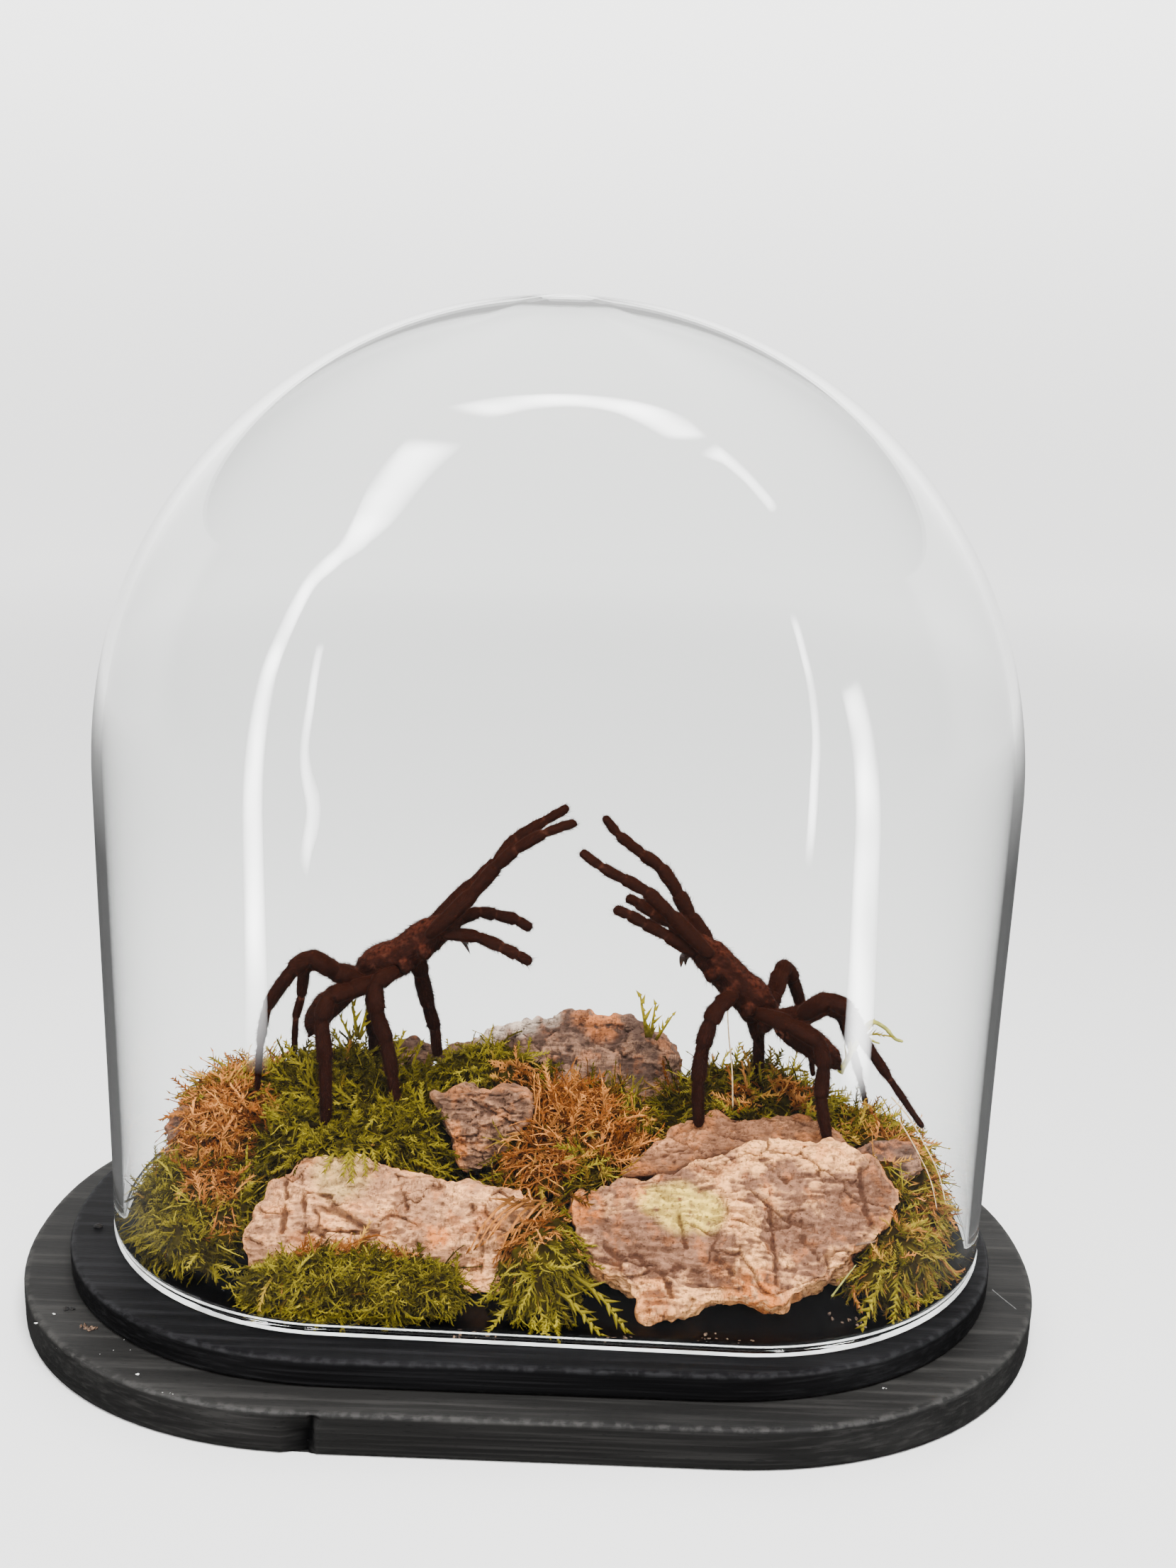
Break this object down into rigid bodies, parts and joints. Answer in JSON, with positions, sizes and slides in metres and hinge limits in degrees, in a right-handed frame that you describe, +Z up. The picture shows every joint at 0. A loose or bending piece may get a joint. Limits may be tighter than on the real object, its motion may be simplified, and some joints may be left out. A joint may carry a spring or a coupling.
{
  "type": "mounted spiders in glass dome",
  "caption": "Dried spiders rear up face to face on bark and moss, under an oval glass dome that rests on a stepped black wooden base.",
  "frame": {"origin": "middle of the base's underside, on the surface that the base stands on", "axes": "+X along the base's length, to the right as seen from the front; +Y from front to back; +Z up"},
  "size_m": [0.323, 0.187, 0.31],
  "materials": {
    "black_stained_wood": "satin",
    "clear_glass": "polished",
    "pale_bark": "matte",
    "dark_bark": "matte",
    "spider_hair": "matte",
    "straw": "matte",
    "green_moss": "matte",
    "rust_moss": "matte"
  },
  "bodies": {
    "root": {"base_lower_tier": "black_stained_wood", "base_upper_tier": "black_stained_wood", "glass_dome": "clear_glass", "bark_front_right": "pale_bark", "bark_front_left": "pale_bark", "bark_middle_right": "pale_bark", "bark_upright_chunk": "dark_bark", "bark_back": "dark_bark", "bark_right_chip": "dark_bark", "bark_left_chip": "dark_bark", "bark_back_left_chip": "dark_bark", "left_spider_fore_body": "spider_hair", "left_spider_abdomen": "spider_hair", "left_spider_near_leg_1": "spider_hair", "left_spider_near_leg_2": "spider_hair", "left_spider_near_leg_3": "spider_hair", "left_spider_near_leg_4": "spider_hair", "left_spider_near_palp": "spider_hair", "left_spider_far_leg_1": "spider_hair", "left_spider_far_leg_2": "spider_hair", "left_spider_far_leg_3": "spider_hair", "left_spider_far_leg_4": "spider_hair", "left_spider_far_palp": "spider_hair", "right_spider_fore_body": "spider_hair", "right_spider_abdomen": "spider_hair", "right_spider_near_leg_1": "spider_hair", "right_spider_near_leg_2": "spider_hair", "right_spider_near_leg_3": "spider_hair", "right_spider_near_leg_4": "spider_hair", "right_spider_near_palp": "spider_hair", "right_spider_far_leg_1": "spider_hair", "right_spider_far_leg_2": "spider_hair", "right_spider_far_leg_3": "spider_hair", "right_spider_far_leg_4": "spider_hair", "right_spider_far_palp": "spider_hair", "straw_prop": "straw", "moss_front_left": "green_moss", "moss_front_middle": "green_moss", "moss_front_right": "green_moss", "moss_left_end": "green_moss", "moss_back_left": "green_moss", "moss_middle": "rust_moss", "moss_left_shoulder": "rust_moss", "moss_back_right": "green_moss", "moss_right_end": "rust_moss", "moss_back_middle": "green_moss", "moss_back_slope": "green_moss"}
  },
  "joints": []
}
